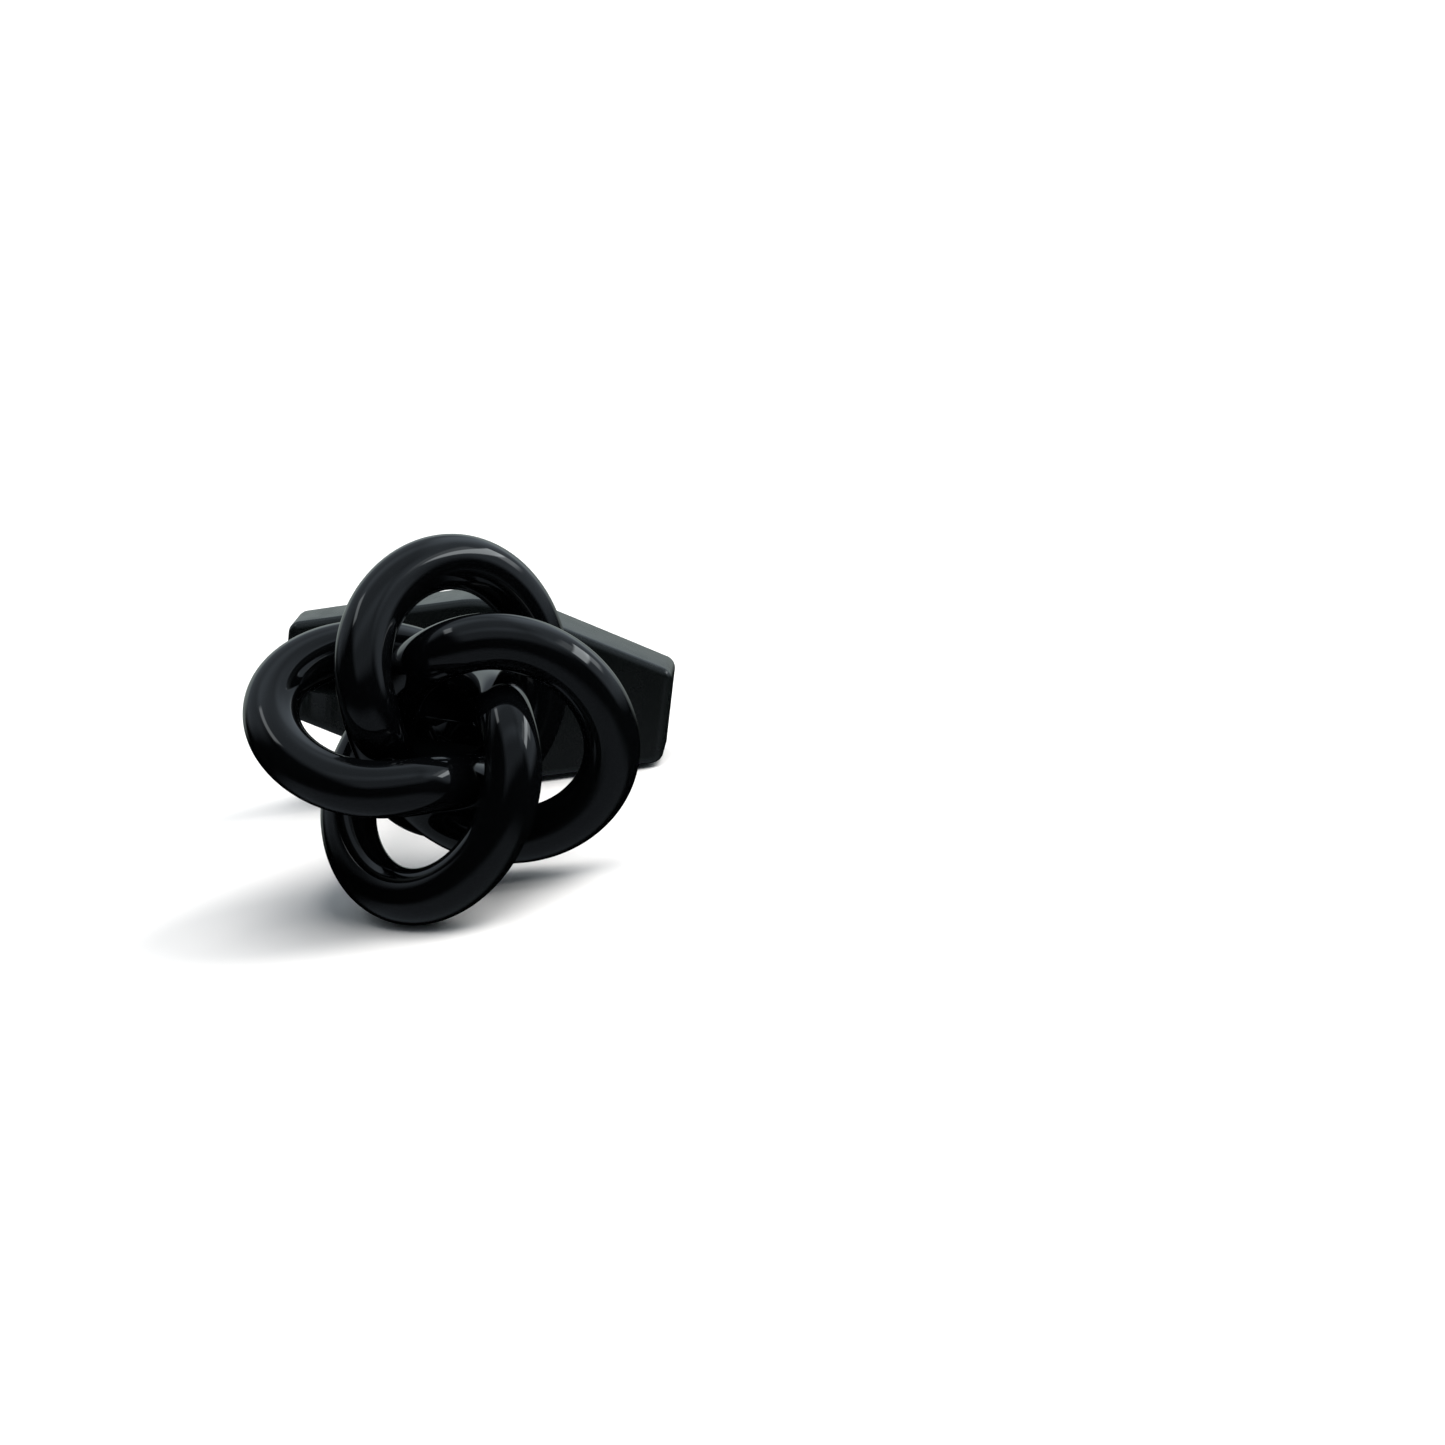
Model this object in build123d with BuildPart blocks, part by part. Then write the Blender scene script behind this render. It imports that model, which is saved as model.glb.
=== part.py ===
"""Knot cufflink: one strand wound into a four-lobed knot, on a leaning post with a swivel toggle.

The pieces are drawn in the knot's own frame: origin at the middle of the knot, X to its right lobe, Y to its
top lobe, Z out of its face. Then they are laid down together as the cufflink rests by itself, on the knot's
bottom lobe and the toggle's lower edge, with its face towards -Y and the floor at Z = 0.
"""

import math
import os

from build123d import *

# The strand: its middle line swings between the lobes' tips and the eye of the knot, over and under itself
strand_diameter = 2.47
mean_radius = 4.5
radial_swing = 2.38
lobe_reach = 0.63
weave_depth = 3.1
lobe_slant = 3.62
lobes = 4
windings = 3
points_per_lobe = 16
points_past_end = 10

# The seat plate, soldered across the back of the strand
seat_radius = 4.2
seat_thickness = 0.8
seat_bite = 0.77
seat_edge_round = 0.3

# The post, soldered to the seat, leaning towards the top lobe and turned a little about itself, with a
# spread foot and a round eye
post_length = 11.2
post_lean = 26.6
post_turn = 3.28
post_width = 1.6
post_thickness = 1.7
post_foot_length = 1.2
post_foot_spread = 0.6
eye_radius = 0.9

# The toggle: a bar that tapers from a rounded middle to straight ends, with a slightly humped back
toggle_length = 18.5
toggle_end_width = 4.5
toggle_taper = 15.1
toggle_middle_round = 5.0
toggle_front = 1.6
toggle_end_back = 1.4
toggle_middle_back = 1.7
toggle_corner_round = 0.6
toggle_edge_round = 0.4

# The channel that takes the post when the toggle is folded in line with it
channel_side_gap = 0.1
channel_floor_gap = 0.1
channel_end_gap = 0.15

# The pivot pin, tight in the toggle, free in the post's eye
pin_diameter = 0.8
pin_running_gap = 0.04
pin_seat_gap = 0.01
pin_inset = 0.15

# How finely the resting position is worked out
samples_per_turn = 720
edge_samples = 120
roll_limit = 30.0
tilt_limit = 90.0
halvings = 26
narrowings = 26

# Sizes that follow from those above
strand_radius = strand_diameter / 2
pin_radius = pin_diameter / 2
seat_front = -(weave_depth + strand_radius) + seat_bite
seat_back = seat_front - seat_thickness
half_length = toggle_length / 2
half_end_width = toggle_end_width / 2
taper = math.radians(toggle_taper)
peak = half_end_width + half_length * math.tan(taper)
half_middle_width = peak - toggle_middle_round * (1 / math.cos(taper) - 1)
back_bow = toggle_middle_back - toggle_end_back
hump_radius = (half_length**2 + back_bow**2) / (2 * back_bow)
channel_floor = eye_radius + channel_floor_gap
channel_end = eye_radius + channel_end_gap


def strand_point(phase):
    """Middle line of the strand. The phase turns once from one lobe's tip to the next one's."""
    turn = math.radians(90) + phase * windings / lobes - math.radians(lobe_slant) * math.sin(2 * phase)
    reach = mean_radius + radial_swing * math.cos(phase) + lobe_reach * math.cos(2 * phase)
    return Vector(reach * math.cos(turn), reach * math.sin(turn), weave_depth * math.sin(phase))


# One stretch of the strand, from a lobe's tip to the next one's: a quarter of the closed knot
step = 2 * math.pi / points_per_lobe
with BuildPart() as stretch:
    with BuildLine() as middle_line:
        long_line = Spline(
            [strand_point(step * i) for i in range(-points_past_end, points_per_lobe + points_past_end + 1)],
            mode=Mode.PRIVATE,
        )
        tips = [long_line.param_at_point(strand_point(phase)) for phase in (0, 2 * math.pi)]
        add(long_line.trim(*tips))
    with BuildSketch(Plane(origin=middle_line.line @ 0, z_dir=middle_line.line % 0)):
        Circle(strand_radius)
    sweep(path=middle_line.line)

with BuildPart() as seat:
    with BuildSketch(Plane.XY.offset(seat_back)):
        Circle(seat_radius)
    extrude(amount=seat_thickness)
    fillet(seat.edges().group_by(Axis.Z)[0], seat_edge_round)

# The post's frame: origin at the pivot, X along the toggle, Z up the post to the knot
lean = math.radians(post_lean)
post_root = Vector(0, 0, (seat_front + seat_back) / 2)
post_rise = Vector(0, -math.sin(lean), math.cos(lean))
post_side = Vector(1, 0, 0).rotate(Axis((0, 0, 0), post_rise), post_turn)
post_plane = Plane(origin=post_root - post_rise * post_length, x_dir=post_side, z_dir=post_rise)
pin_plane = Plane(origin=post_plane.origin, x_dir=post_side, z_dir=-post_plane.y_dir)
foot_top = post_root - post_rise * (seat_thickness / 2 / math.cos(lean))
foot_end = foot_top - post_rise * post_foot_length

with BuildPart() as knot:
    with PolarLocations(0, lobes):
        add(stretch.part)
    add(seat.part)
    with BuildSketch(post_plane):
        Rectangle(post_width, post_thickness)
    extrude(amount=post_length)
    with BuildSketch(Plane(origin=foot_top, x_dir=(post_side.X, post_side.Y, 0), z_dir=(0, 0, 1))):
        Rectangle(post_width + 2 * post_foot_spread, post_thickness + 2 * post_foot_spread)
    with BuildSketch(Plane(origin=foot_end, x_dir=post_side, z_dir=post_rise)):
        Rectangle(post_width, post_thickness)
    loft()
    with BuildSketch(pin_plane):
        Circle(eye_radius)
    extrude(amount=post_thickness / 2, both=True)
    with BuildSketch(pin_plane):
        Circle(pin_radius + pin_running_gap)
    extrude(amount=post_thickness / 2, both=True, mode=Mode.SUBTRACT)

with BuildPart() as toggle:
    # The outline with its tapered edges, cut to a humped back by a wide disc whose rim is the hump
    with BuildSketch(post_plane.offset(-toggle_middle_back)) as outline:
        with BuildLine():
            Polyline(
                (half_length, half_end_width),
                (0, peak),
                (-half_length, half_end_width),
                (-half_length, -half_end_width),
                (0, -peak),
                (half_length, -half_end_width),
                close=True,
            )
        make_face()
        fillet(outline.vertices().group_by(Axis.X)[1], toggle_middle_round)
        corners = outline.vertices().group_by(Axis.X)
        fillet(corners[0] + corners[-1], toggle_corner_round)
    extrude(amount=toggle_middle_back + toggle_front)
    with BuildSketch(pin_plane):
        with Locations((0, hump_radius - toggle_middle_back)):
            Circle(hump_radius)
    extrude(amount=peak, both=True, mode=Mode.INTERSECT)
    up_post = Axis(post_plane.origin, post_rise)
    fillet(toggle.faces().sort_by(up_post)[-1].edges(), toggle_edge_round)
    fillet(toggle.faces().sort_by(up_post)[0].edges(), toggle_edge_round)
    # The channel, from beside the eye to the left tip
    with BuildSketch(post_plane.offset(toggle_front)):
        with Locations(((channel_end - half_length) / 2, 0)):
            Rectangle(channel_end + half_length, post_thickness + 2 * channel_side_gap)
    extrude(amount=-(toggle_front + channel_floor), mode=Mode.SUBTRACT)
    with BuildSketch(pin_plane):
        Circle(pin_radius + pin_seat_gap)
    extrude(amount=peak, both=True, mode=Mode.SUBTRACT)

with BuildPart() as pivot_pin:
    with BuildSketch(pin_plane):
        Circle(pin_radius)
    extrude(amount=half_middle_width - pin_inset, both=True)


def half_width(x):
    """Half of the toggle's width at x from its middle: a straight taper into the rounded middle."""
    if abs(x) > toggle_middle_round * math.sin(taper):
        return peak - abs(x) * math.tan(taper)
    return half_middle_width - toggle_middle_round + math.sqrt(toggle_middle_round**2 - x**2)


def back_depth(x):
    """How far the toggle's humped back stands behind the pivot at x from its middle."""
    return toggle_middle_back - hump_radius + math.sqrt(hump_radius**2 - x**2)


def lowest(balls, up):
    """Height of the lowest point of a row of balls."""
    return min(centre.dot(up) - radius for centre, radius in balls)


def up_at(roll, tilt):
    """Direction of the world's up, for a roll about the post and a tilt of the face, in degrees."""
    roll, tilt = math.radians(roll), math.radians(tilt)
    return Vector(math.sin(roll), math.cos(roll) * math.cos(tilt), math.cos(roll) * math.sin(tilt))


# What can touch the floor, as rows of balls: the bottom lobe of the strand, and the toggle's lower edges
turn_samples = [strand_point(2 * math.pi * i / samples_per_turn) for i in range(lobes * samples_per_turn)]
lobe_balls = [(point, strand_radius) for point in turn_samples if point.Y < -mean_radius]
toggle_balls = []
for i in range(1, edge_samples):
    x = half_length * (2 * i / edge_samples - 1)
    low = toggle_edge_round - half_width(x)
    rear = toggle_edge_round - back_depth(x)
    for depth in (rear, toggle_front - toggle_edge_round):
        toggle_balls.append((post_plane.from_local_coords(Vector(x, low, depth)), toggle_edge_round))

pieces = [knot, toggle, pivot_pin]
weight = sum(piece.part.volume for piece in pieces)
balance = Vector(0, 0, 0)
for piece in pieces:
    balance += piece.part.center(CenterOf.MASS) * (piece.part.volume / weight)


def tilt_on_both(roll):
    """Tilt of the face at which the lobe and the toggle touch the floor together."""
    least, most = 0, tilt_limit
    for _ in range(halvings):
        tilt = (least + most) / 2
        up = up_at(roll, tilt)
        if lowest(lobe_balls, up) < lowest(toggle_balls, up):
            least = tilt
        else:
            most = tilt
    return tilt


def balance_height(roll):
    """Height of the centre of mass over the floor, lying on the lobe and the toggle."""
    up = up_at(roll, tilt_on_both(roll))
    return balance.dot(up) - lowest(lobe_balls, up)


# The roll at which the centre of mass is lowest is where the cufflink lies still
left, right = -roll_limit, roll_limit
for _ in range(narrowings):
    third = (right - left) / 3
    if balance_height(left + third) < balance_height(right - third):
        right -= third
    else:
        left += third
roll = (left + right) / 2
up = up_at(roll, tilt_on_both(roll))
front = (Vector(0, 0, 1) - up * up.Z).normalized()
floor = Plane(origin=(0, 0, 0), x_dir=up.cross(front), z_dir=up)

# Laid down, with the middle of the whole box over the origin
for piece in pieces:
    piece.part = piece.part.moved(floor.location.inverse())
boxes = [piece.part.bounding_box() for piece in pieces]
middle_x = (min(box.min.X for box in boxes) + max(box.max.X for box in boxes)) / 2
middle_y = (min(box.min.Y for box in boxes) + max(box.max.Y for box in boxes)) / 2
to_origin = Location((-middle_x, -middle_y, -min(box.min.Z for box in boxes)))
for piece in pieces:
    piece.part = piece.part.moved(to_origin)

knot.part.label = "knot"
toggle.part.label = "toggle"
pivot_pin.part.label = "pivot_pin"

os.makedirs("parts", exist_ok=True)
export_step(knot.part, "parts/knot.step")
export_step(toggle.part, "parts/toggle.step")
export_step(pivot_pin.part, "parts/pivot_pin.step")
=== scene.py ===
"""Looks of the knot cufflink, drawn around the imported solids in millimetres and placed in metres."""

import math

import bmesh
import bpy
import numpy as np
from mathutils import Matrix, Vector


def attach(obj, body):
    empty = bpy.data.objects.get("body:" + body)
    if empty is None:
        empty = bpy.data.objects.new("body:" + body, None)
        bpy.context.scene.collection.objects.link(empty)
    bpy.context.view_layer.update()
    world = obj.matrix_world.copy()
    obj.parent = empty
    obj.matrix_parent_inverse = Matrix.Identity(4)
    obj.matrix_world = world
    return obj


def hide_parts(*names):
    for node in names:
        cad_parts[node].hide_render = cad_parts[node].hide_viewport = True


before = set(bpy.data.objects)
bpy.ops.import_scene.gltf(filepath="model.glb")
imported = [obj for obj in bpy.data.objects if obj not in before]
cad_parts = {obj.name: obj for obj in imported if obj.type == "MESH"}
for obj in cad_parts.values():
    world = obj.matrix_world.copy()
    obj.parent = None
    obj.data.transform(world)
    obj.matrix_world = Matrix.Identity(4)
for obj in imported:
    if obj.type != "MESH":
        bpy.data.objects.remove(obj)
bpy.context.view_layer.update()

MM = 0.001

# Sizes in millimetres, the same as the solids have
STRAND_RADIUS = 1.235
MEAN_RADIUS, RADIAL_SWING, LOBE_REACH = 4.5, 2.38, 0.63
WEAVE_DEPTH, LOBE_SLANT = 3.1, 3.62
LOBES, WINDINGS = 4, 3
SEAT_RADIUS, SEAT_THICKNESS, SEAT_BITE, SEAT_ROUND = 4.2, 0.8, 0.77, 0.3
SEAT_FRONT = SEAT_BITE - WEAVE_DEPTH - STRAND_RADIUS
SEAT_BACK = SEAT_FRONT - SEAT_THICKNESS
SEAT_FRONT_ROUND, SEAT_RIM, SEAT_BACK_RIM = 0.1, 0.6, 1.0
POST_WIDTH, POST_THICKNESS, POST_LENGTH = 1.6, 1.7, 11.2
POST_LEAN, POST_TURN = 26.6, 3.28
FOOT_LENGTH, FOOT_SPREAD, EYE_RADIUS = 1.2, 0.6, 0.9
# The post's bar ends inside the ring of the eye, clear of the pin
BAR_START = 0.5
HALF_LENGTH, HALF_END, MIDDLE_ROUND = 9.25, 2.25, 5.0
TAPER = math.radians(15.1)
PEAK = HALF_END + HALF_LENGTH * math.tan(TAPER)
HALF_MIDDLE = PEAK - MIDDLE_ROUND * (1 / math.cos(TAPER) - 1)
FRONT, END_BACK, MIDDLE_BACK = 1.6, 1.4, 1.7
BACK_BOW = MIDDLE_BACK - END_BACK
HUMP_RADIUS = (HALF_LENGTH**2 + BACK_BOW**2) / (2 * BACK_BOW)
EDGE_ROUND, CORNER_ROUND = 0.4, 0.6
CHANNEL_WIDTH, CHANNEL_FLOOR, CHANNEL_END = 1.9, 1.0, 1.05
PIN_RADIUS, PIN_INSET, PIN_RUNNING_GAP = 0.4, 0.15, 0.04
PIN_HALF = HALF_MIDDLE - PIN_INSET
POST_EDGE_ROUND, EYE_EDGE_ROUND, CUT_BEVEL = 0.18, 0.15, 0.12
CUT_PAST_END = 1.0
FOOT_FLARE, FOOT_INTO_SEAT = 2.2, 0.6
PIN_HOLLOW, PIN_DISH, PIN_EDGE, PIN_EDGE_MIDDLE = 0.0001, 0.02, 0.08, 0.03

# The knot's own frame as it lies at rest: X to its right lobe, Y to its top lobe, Z out of its face
knot_x = Vector((0.932392, -0.175157, -0.316172))
knot_y = Vector((0.361448, 0.451835, 0.815598))
knot_z = knot_x.cross(knot_y)
knot_centre = Vector((-1.42134, -5.68478, 7.36018))
KNOT = Matrix((knot_x, knot_y, knot_z)).transposed().to_4x4()
KNOT.translation = knot_centre

# The post's frame: origin at the pivot, X along the toggle, Y up the pin, Z up the post to the knot
lean = math.radians(POST_LEAN)
POST = KNOT @ Matrix.Rotation(lean, 4, "X") @ Matrix.Rotation(math.radians(POST_TURN), 4, "Z")
POST.translation = Vector((0.391291, 8.80954, 4.67587))


def strand_point(phase):
    """Middle line of the strand. The phase turns once from one lobe's tip to the next one's."""
    turn = math.radians(90) + phase * WINDINGS / LOBES - math.radians(LOBE_SLANT) * math.sin(2 * phase)
    reach = MEAN_RADIUS + RADIAL_SWING * math.cos(phase) + LOBE_REACH * math.cos(2 * phase)
    return Vector((reach * math.cos(turn), reach * math.sin(turn), WEAVE_DEPTH * math.sin(phase)))


def piece(name, verts, faces, place, material, body, nodes=()):
    """A smooth-shaded mesh, given in millimetres in a local frame, put in place in the part's frame."""
    mesh = bpy.data.meshes.new(name)
    mesh.from_pydata([place @ Vector(v) * MM for v in verts], [], faces)
    mesh.validate()
    mesh.update()
    obj = bpy.data.objects.new(name, mesh)
    bpy.context.scene.collection.objects.link(obj)
    shade_smooth(mesh)
    mesh.materials.append(material)
    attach(obj, body)
    if nodes:
        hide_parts(*nodes)
    return obj


def face_outwards(obj):
    """Turns every face of a closed mesh outwards."""
    bm = bmesh.new()
    bm.from_mesh(obj.data)
    bmesh.ops.recalc_face_normals(bm, faces=bm.faces)
    bm.to_mesh(obj.data)
    bm.free()


def shade_smooth(mesh):
    for polygon in mesh.polygons:
        polygon.use_smooth = True


def capped(rings, around):
    """Faces of a row of rings with both ends closed."""
    last = (rings - 1) * around
    faces = rings_to_faces(rings, around, False)
    faces.append(tuple(reversed(range(around))))
    faces.append(tuple(last + j for j in range(around)))
    return faces


def rings_to_faces(rings, around, closed):
    """Quads between rows of points, each row going once round."""
    faces = []
    for i in range(rings if closed else rings - 1):
        a, b = i * around, (i + 1) % rings * around
        for j in range(around):
            k = (j + 1) % around
            faces.append((a + j, a + k, b + k, b + j))
    return faces


def closed_tube(points, radius, around):
    """A round tube along a closed line that never runs straight along Z."""
    verts = []
    for i, p in enumerate(points):
        along = (points[(i + 1) % len(points)] - points[i - 1]).normalized()
        side = along.cross(Vector((0, 0, 1))).normalized()
        up = side.cross(along)
        for j in range(around):
            a = 2 * math.pi * j / around
            verts.append(p + (side * math.cos(a) + up * math.sin(a)) * radius)
    return verts, rings_to_faces(len(points), around, True)


PATCH_SCALE, PATCH_DETAIL = 900.0, 6.0
SMOOTHEST, ROUGHEST = 0.8, 1.25


def lacquer(name, colour, rough, grain, grain_height):
    """Black lacquer over metal, with a faint ripple and fine uneven patches in its sheen."""
    mat = bpy.data.materials.new(name)
    mat.use_nodes = True
    tree = mat.node_tree
    bsdf = tree.nodes["Principled BSDF"]
    bsdf.inputs["Metallic"].default_value = 0.0
    bsdf.inputs["IOR"].default_value = 1.5
    bsdf.inputs["Base Color"].default_value = (*colour, 1)
    coords = tree.nodes.new("ShaderNodeTexCoord")
    ripple = tree.nodes.new("ShaderNodeTexNoise")
    ripple.inputs["Scale"].default_value = grain
    ripple.inputs["Detail"].default_value = 2.0
    tree.links.new(coords.outputs["Object"], ripple.inputs["Vector"])
    bump = tree.nodes.new("ShaderNodeBump")
    bump.inputs["Strength"].default_value = 1.0
    bump.inputs["Distance"].default_value = grain_height
    tree.links.new(ripple.outputs["Fac"], bump.inputs["Height"])
    tree.links.new(bump.outputs["Normal"], bsdf.inputs["Normal"])
    patch = tree.nodes.new("ShaderNodeTexNoise")
    patch.inputs["Scale"].default_value = PATCH_SCALE
    patch.inputs["Detail"].default_value = PATCH_DETAIL
    tree.links.new(coords.outputs["Object"], patch.inputs["Vector"])
    span = tree.nodes.new("ShaderNodeMapRange")
    span.inputs["From Min"].default_value = 0.3
    span.inputs["From Max"].default_value = 0.7
    span.inputs["To Min"].default_value = rough * SMOOTHEST
    span.inputs["To Max"].default_value = rough * ROUGHEST
    tree.links.new(patch.outputs["Fac"], span.inputs["Value"])
    tree.links.new(span.outputs["Result"], bsdf.inputs["Roughness"])
    return mat


STRAND_COLOUR = (0.0012, 0.0014, 0.0017)
gloss = lacquer("gloss_black", STRAND_COLOUR, 0.05, 700.0, 0.0000006)
satin = lacquer("satin_black", (0.0045, 0.006, 0.006), 0.24, 1500.0, 0.0000006)

# The seat lies in the knot's shade and looks only black there. Its lacquer is painted shade: a copy of the
# strand's lacquer with rougher, much weaker reflections.
shade = lacquer("painted_shade_black", STRAND_COLOUR, 0.45, 700.0, 0.0000006)
shade.node_tree.nodes["Principled BSDF"].inputs["Specular IOR Level"].default_value = 0.12

# The strand
steps, around = 1200, 64
points = [strand_point(2 * math.pi * LOBES * i / steps) for i in range(steps)]
verts, faces = closed_tube(points, STRAND_RADIUS, around)
strand = piece("strand", verts, faces, KNOT, gloss, "head", ["knot"])


def arc(middle_r, middle_h, radius, start, end, steps):
    """Points of a profile along an arc, from one angle to another."""
    turns = [math.radians(start + (end - start) * i / steps) for i in range(steps + 1)]
    return [(middle_r + radius * math.cos(a), middle_h + radius * math.sin(a)) for a in turns]


def turned(profile, around, about_y=False):
    """A profile of radius and height, turned about Z or about Y."""
    verts = []
    for r, h in profile:
        for j in range(around):
            a = 2 * math.pi * j / around
            across, aside = r * math.cos(a), r * math.sin(a)
            verts.append(Vector((across, h, aside) if about_y else (across, aside, h)))
    return verts


# The seat: a turned disc with a rounded back edge
seat_sides = 128
profile = [(SEAT_RADIUS - SEAT_RIM, SEAT_FRONT)]
profile += arc(SEAT_RADIUS - SEAT_FRONT_ROUND, SEAT_FRONT - SEAT_FRONT_ROUND, SEAT_FRONT_ROUND, 90, 0, 4)
profile += arc(SEAT_RADIUS - SEAT_ROUND, SEAT_BACK + SEAT_ROUND, SEAT_ROUND, 0, -90, 8)
profile.append((SEAT_RADIUS - SEAT_BACK_RIM, SEAT_BACK))
# The seat gets the painted-shade lacquer, duller and darker than the strand's
seat = piece("seat", turned(profile, seat_sides), capped(len(profile), seat_sides), KNOT, shade, "head")


# The post: a flat bar with rounded edges, a spread foot under the seat and a round eye at the pivot
def rounded_rectangle(half_x, half_y, r, per_corner=6):
    """Points round a rectangle with rounded corners."""
    out = []
    for cx, cy, start in ((1, 1, 0), (-1, 1, 90), (-1, -1, 180), (1, -1, 270)):
        for i in range(per_corner + 1):
            a = math.radians(start + 90 * i / per_corner)
            out.append((cx * (half_x - r) + r * math.cos(a), cy * (half_y - r) + r * math.sin(a)))
    return out


seat_at = POST_LENGTH - (SEAT_FRONT - SEAT_BACK) / 2 / math.cos(lean)
foot_at = seat_at - FOOT_LENGTH
BAR_STEPS, FOOT_STEPS = 11, 16
sections = [(BAR_START + (foot_at - BAR_START) * i / BAR_STEPS, 0.0) for i in range(BAR_STEPS + 1)]
for i in range(1, FOOT_STEPS + 1):
    t = i / FOOT_STEPS
    sections.append((foot_at + FOOT_LENGTH * t, FOOT_SPREAD * t**FOOT_FLARE))
sections.append((seat_at + FOOT_INTO_SEAT, FOOT_SPREAD))
verts = []
for z, spread in sections:
    half_x, half_y = POST_WIDTH / 2 + spread, POST_THICKNESS / 2 + spread
    share = max(0.0, min(1.0, (z - foot_at) / FOOT_LENGTH))
    for x, y in rounded_rectangle(half_x, half_y, POST_EDGE_ROUND + spread * 0.5):
        verts.append(Vector((x, y, z + y * math.tan(lean) * share)))
count = len(verts) // len(sections)
post = piece("post", verts, capped(len(sections), count), POST, gloss, "head")

# The eye: a short round barrel across the post's end
half = POST_THICKNESS / 2
eye_sides = 64
profile = arc(EYE_RADIUS - EYE_EDGE_ROUND, half - EYE_EDGE_ROUND, EYE_EDGE_ROUND, 90, 0, 6)
profile += arc(EYE_RADIUS - EYE_EDGE_ROUND, EYE_EDGE_ROUND - half, EYE_EDGE_ROUND, 0, -90, 6)
profile += [(PIN_RADIUS + PIN_RUNNING_GAP, -half), (PIN_RADIUS + PIN_RUNNING_GAP, half)]
faces = rings_to_faces(len(profile), eye_sides, True)
eye = piece("eye", turned(profile, eye_sides, about_y=True), faces, POST, gloss, "head")


# The toggle: rings along its length, each a rounded rectangle that follows the outline and the humped back
def half_width(x):
    """Half of the toggle's width at x: a rounded middle, a straight taper and rounded corners."""
    corner_x = HALF_LENGTH - CORNER_ROUND
    if abs(x) > corner_x + CORNER_ROUND * math.sin(TAPER):
        corner_y = PEAK - corner_x * math.tan(TAPER) - CORNER_ROUND / math.cos(TAPER)
        return corner_y + math.sqrt(max(0.0, CORNER_ROUND**2 - (abs(x) - corner_x) ** 2))
    if abs(x) > MIDDLE_ROUND * math.sin(TAPER):
        return PEAK - abs(x) * math.tan(TAPER)
    return HALF_MIDDLE - MIDDLE_ROUND + math.sqrt(MIDDLE_ROUND**2 - x**2)


def back_depth(x):
    """How far the toggle's humped back stands behind the pivot at x."""
    return MIDDLE_BACK - HUMP_RADIUS + math.sqrt(HUMP_RADIUS**2 - x**2)


END_STEPS, MIDDLE_STEPS, LEAST_ROUND = 16, 120, 0.02
ends = [CORNER_ROUND * (1 - math.cos(math.radians(90 * i / END_STEPS))) for i in range(END_STEPS + 1)]
inner = HALF_LENGTH - CORNER_ROUND
xs = [s - HALF_LENGTH for s in ends]
xs += [inner * (2 * i / MIDDLE_STEPS - 1) for i in range(1, MIDDLE_STEPS)]
xs += [HALF_LENGTH - s for s in reversed(ends)]
verts = []
for x in xs:
    left = max(0.0, EDGE_ROUND - (HALF_LENGTH - abs(x)))
    less = EDGE_ROUND - math.sqrt(EDGE_ROUND**2 - left**2)
    back = less - back_depth(x)
    fore = FRONT - less
    centre, half_z = (fore + back) / 2, (fore - back) / 2
    for z, y in rounded_rectangle(half_z, half_width(x), max(EDGE_ROUND - less, LEAST_ROUND), 8):
        verts.append(Vector((x, -y, centre + z)))
toggle_faces = capped(len(xs), len(verts) // len(xs))
toggle = piece("toggle_bar", verts, toggle_faces, POST, satin, "swivel", ["toggle"])


def block(name, low, high, place):
    """A box to cut with."""
    xs, ys, zs = zip(low, high)
    verts = [Vector((x, y, z)) for x in xs for y in ys for z in zs]
    faces = [(0, 1, 3, 2), (4, 6, 7, 5), (0, 4, 5, 1), (2, 3, 7, 6), (0, 2, 6, 4), (1, 5, 7, 3)]
    mesh = bpy.data.meshes.new(name)
    mesh.from_pydata([place @ v * MM for v in verts], [], faces)
    obj = bpy.data.objects.new(name, mesh)
    bpy.context.scene.collection.objects.link(obj)
    return obj


def apply_modifiers(obj):
    """Keeps the shape that the modifiers make and removes them."""
    graph = bpy.context.evaluated_depsgraph_get()
    made = bpy.data.meshes.new_from_object(obj.evaluated_get(graph))
    obj.modifiers.clear()
    obj.data = made


def cut(obj, cutter):
    """Takes the cutter's shape out of a piece and deletes the cutter."""
    modifier = obj.modifiers.new("cut", "BOOLEAN")
    modifier.operation = "DIFFERENCE"
    modifier.solver = "EXACT"
    modifier.object = cutter
    bpy.context.view_layer.update()
    apply_modifiers(obj)
    bpy.data.objects.remove(cutter)


face_outwards(toggle)
channel = block(
    "channel",
    (-HALF_LENGTH - CUT_PAST_END, -CHANNEL_WIDTH / 2, -CHANNEL_FLOOR),
    (CHANNEL_END, CHANNEL_WIDTH / 2, FRONT + CUT_PAST_END),
    POST,
)
cut(toggle, channel)
bevel = toggle.modifiers.new("edges", "BEVEL")
bevel.width = CUT_BEVEL * MM
bevel.segments = 3
bevel.limit_method = "ANGLE"
bevel.angle_limit = math.radians(50)
bevel.harden_normals = False
apply_modifiers(toggle)
# The long flat faces with more than four corners are split into triangles
bm = bmesh.new()
bm.from_mesh(toggle.data)
bmesh.ops.triangulate(bm, faces=[face for face in bm.faces if len(face.verts) > 4])
bm.to_mesh(toggle.data)
bm.free()
shade_smooth(toggle.data)

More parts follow.
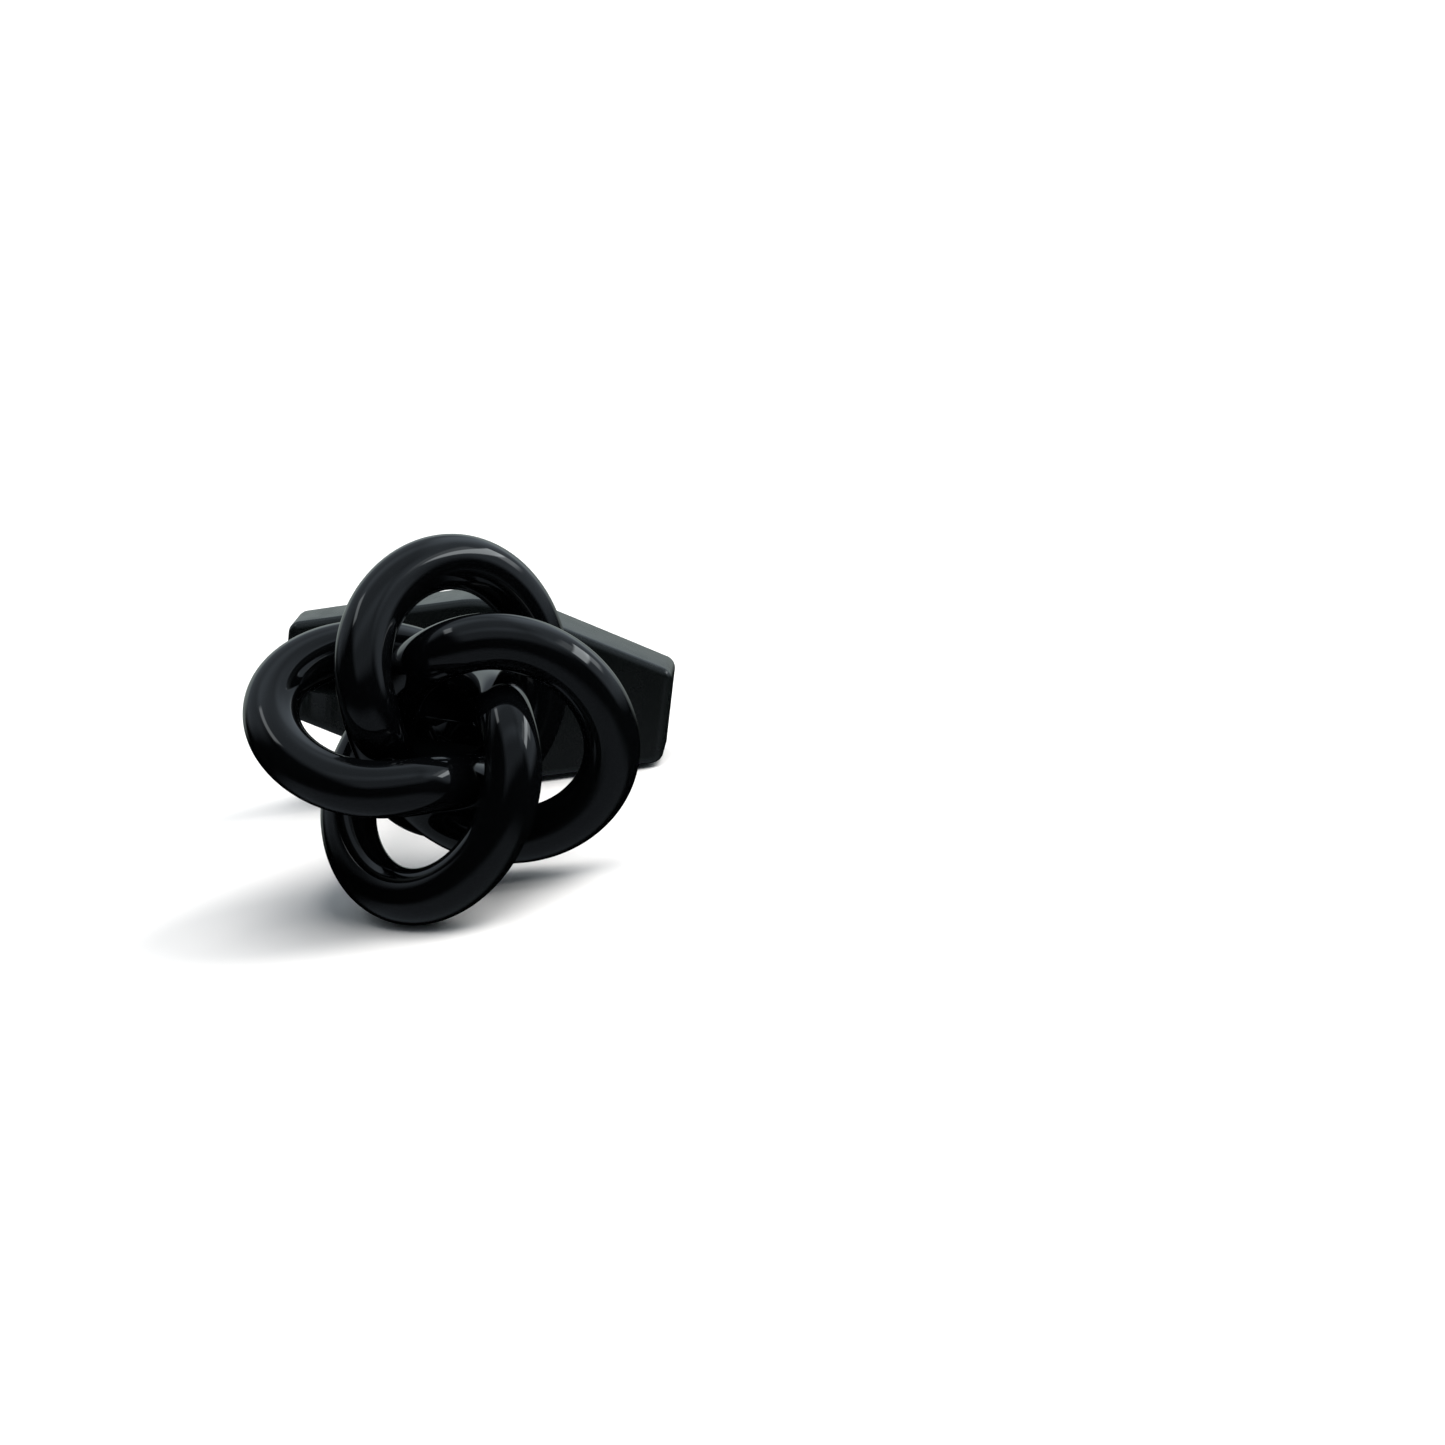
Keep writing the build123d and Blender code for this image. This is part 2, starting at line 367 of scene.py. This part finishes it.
# The pivot pin, flush with the toggle's edges
pin_sides = 48
profile = [
    (PIN_HOLLOW, PIN_HALF - PIN_DISH),
    (PIN_RADIUS - PIN_EDGE, PIN_HALF),
    (PIN_RADIUS - PIN_EDGE_MIDDLE, PIN_HALF - PIN_DISH),
    (PIN_RADIUS, PIN_HALF - PIN_EDGE),
]
profile += [(r, -y) for r, y in reversed(profile)]
pin_verts = turned(profile, pin_sides, about_y=True)
pin = piece("pin", pin_verts, capped(len(profile), pin_sides), POST, satin, "swivel", ["pivot_pin"])

for obj in (strand, seat, post, eye, pin):
    face_outwards(obj)

# The floor
mesh = bpy.data.meshes.new("floor")
reach = 3.0
corners = [(-reach, -reach, 0), (reach, -reach, 0), (reach, reach, 0), (-reach, reach, 0)]
mesh.from_pydata(corners, [], [(0, 1, 2, 3)])
floor = bpy.data.objects.new("floor", mesh)
bpy.context.scene.collection.objects.link(floor)
white = bpy.data.materials.new("floor_white")
white.use_nodes = True
bsdf = white.node_tree.nodes["Principled BSDF"]
bsdf.inputs["Base Color"].default_value = (0.93, 0.9, 0.87, 1)
bsdf.inputs["Roughness"].default_value = 1.0
bsdf.inputs["Specular IOR Level"].default_value = 0.0
# Far from the part the floor glows a little, where the lamps no longer reach
bsdf.inputs["Emission Color"].default_value = (1, 1, 1, 1)
spot = white.node_tree.nodes.new("ShaderNodeTexCoord").outputs["Object"]
away = white.node_tree.nodes.new("ShaderNodeVectorMath")
away.operation = "LENGTH"
white.node_tree.links.new(spot, away.inputs[0])
rise = white.node_tree.nodes.new("ShaderNodeMapRange")
rise.interpolation_type = "SMOOTHSTEP"
rise.inputs["From Min"].default_value = 0.06
rise.inputs["From Max"].default_value = 0.3
white.node_tree.links.new(away.outputs["Value"], rise.inputs["Value"])
white.node_tree.links.new(rise.outputs["Result"], bsdf.inputs["Emission Strength"])
mesh.materials.append(white)

# The camera, fitted to the photograph: its focal length is in pixels of the photograph's width
PHOTO_PIXELS, FOCAL_PIXELS = 1445, 3230
camera = bpy.data.objects.new("camera", bpy.data.cameras.new("camera"))
bpy.context.scene.collection.objects.link(camera)
camera.location = (0.00186923, -0.14112732, 0.04951318)
camera.rotation_euler = tuple(math.radians(a) for a in (71.75434, 8.74253, -6.62597))
camera.data.sensor_width = 36.0
camera.data.lens = camera.data.sensor_width * FOCAL_PIXELS / PHOTO_PIXELS
camera.data.clip_start = 0.001
camera.data.clip_end = 20.0
bpy.context.scene.camera = camera

# The light the lacquer mirrors: a dim room, a pale ceiling, a strip to the right and a lamp to the left
world = bpy.data.worlds.new("studio")
bpy.context.scene.world = world
world.use_nodes = True
sky = world.node_tree
background = sky.nodes["Background"]
background.inputs["Strength"].default_value = 1.0
toward = sky.nodes.new("ShaderNodeTexCoord").outputs["Generated"]


def sky_node(kind, operation, *values):
    """A maths node of the world, fed with values or with other nodes' results."""
    node = sky.nodes.new(kind)
    node.operation = operation
    for socket, value in zip(node.inputs, values):
        if isinstance(value, bpy.types.NodeSocket):
            sky.links.new(value, socket)
        else:
            socket.default_value = value
    return node


def direction(azimuth, elevation):
    """Azimuth 0 looks from the part to the side the knot faces, 90 to its right."""
    a, e = math.radians(azimuth), math.radians(elevation)
    return Vector((math.sin(a) * math.cos(e), -math.cos(a) * math.cos(e), math.sin(e)))


def fade(value, inner, outer):
    """One up to the inner angle, falling softly to nothing at the outer one."""
    node = sky.nodes.new("ShaderNodeMapRange")
    node.interpolation_type = "SMOOTHSTEP"
    node.inputs["From Min"].default_value = outer
    node.inputs["From Max"].default_value = inner
    sky.links.new(value, node.inputs["Value"])
    return node.outputs["Result"]


def soft_panel(azimuth, elevation, width, height, soft, radiance):
    """A panel of light far away, its size and the softness of its rim given as angles."""
    middle = direction(azimuth, elevation)
    side = Vector((0, 0, 1)).cross(middle).normalized()
    above = middle.cross(side)
    ahead = sky_node("ShaderNodeVectorMath", "DOT_PRODUCT", toward, middle).outputs["Value"]
    depth = sky_node("ShaderNodeMath", "MAXIMUM", ahead, 0.0001).outputs[0]
    share = None
    for axis, size in ((side, width), (above, height)):
        along = sky_node("ShaderNodeVectorMath", "DOT_PRODUCT", toward, axis).outputs["Value"]
        slope = sky_node("ShaderNodeMath", "ARCTAN2", along, depth).outputs[0]
        off = sky_node("ShaderNodeMath", "ABSOLUTE", slope).outputs[0]
        part = fade(off, math.radians(size / 2 - soft), math.radians(size / 2 + soft))
        share = part if share is None else sky_node("ShaderNodeMath", "MULTIPLY", share, part).outputs[0]
    glow = sky_node("ShaderNodeVectorMath", "SCALE", radiance)
    sky.links.new(share, glow.inputs["Scale"])
    return glow.outputs["Vector"]


COOL = Vector((0.86, 1.0, 1.14))
NEUTRAL = Vector((0.94, 1.0, 1.02))
panels = [
    soft_panel(0, 90, 60, 60, 10, COOL * 0.34),
    soft_panel(108, 30, 84, 60, 9, COOL * 0.5),
    soft_panel(195, 42, 100, 60, 12, COOL * 0.34),
    soft_panel(12, 50, 70, 40, 9, COOL * 0.26),
    soft_panel(91, 30, 40, 9, 1.0, NEUTRAL * 4.2),
    soft_panel(104, 22, 20, 9, 2.5, NEUTRAL * 1.7),
    soft_panel(82, 38, 26, 8, 2.5, NEUTRAL * 0.7),
    soft_panel(-103, 61, 20, 8, 1.5, NEUTRAL * 2.0),
    soft_panel(-30, -60, 120, 90, 12, COOL * 0.16),
    soft_panel(176, 4, 90, 34, 7, Vector((0.88, 1.0, 0.97)) * 0.5),
]
total = panels[0]
for panel in panels[1:]:
    total = sky_node("ShaderNodeVectorMath", "ADD", total, panel).outputs["Vector"]
sky.links.new(total, background.inputs["Color"])


def floor_lamp(name, azimuth, elevation, distance, size, power):
    """A lamp that whitens the floor and throws the shadows, and that the lacquer doesn't mirror."""
    light = bpy.data.lights.new(name, "AREA")
    light.shape = "DISK"
    light.size = size
    light.energy = power
    lamp = bpy.data.objects.new(name, light)
    bpy.context.scene.collection.objects.link(lamp)
    lamp.location = direction(azimuth, elevation) * distance
    lamp.rotation_euler = direction(azimuth, elevation).to_track_quat("Z", "Y").to_euler()
    lamp.visible_glossy = False


floor_lamp("overhead", 60, 78, 0.7, 0.6, 4.2)
floor_lamp("right_lamp", 95, 48, 0.7, 0.34, 3.0)
floor.visible_glossy = False

bpy.context.scene.view_settings.view_transform = "Standard"
bpy.context.scene.view_settings.look = "None"
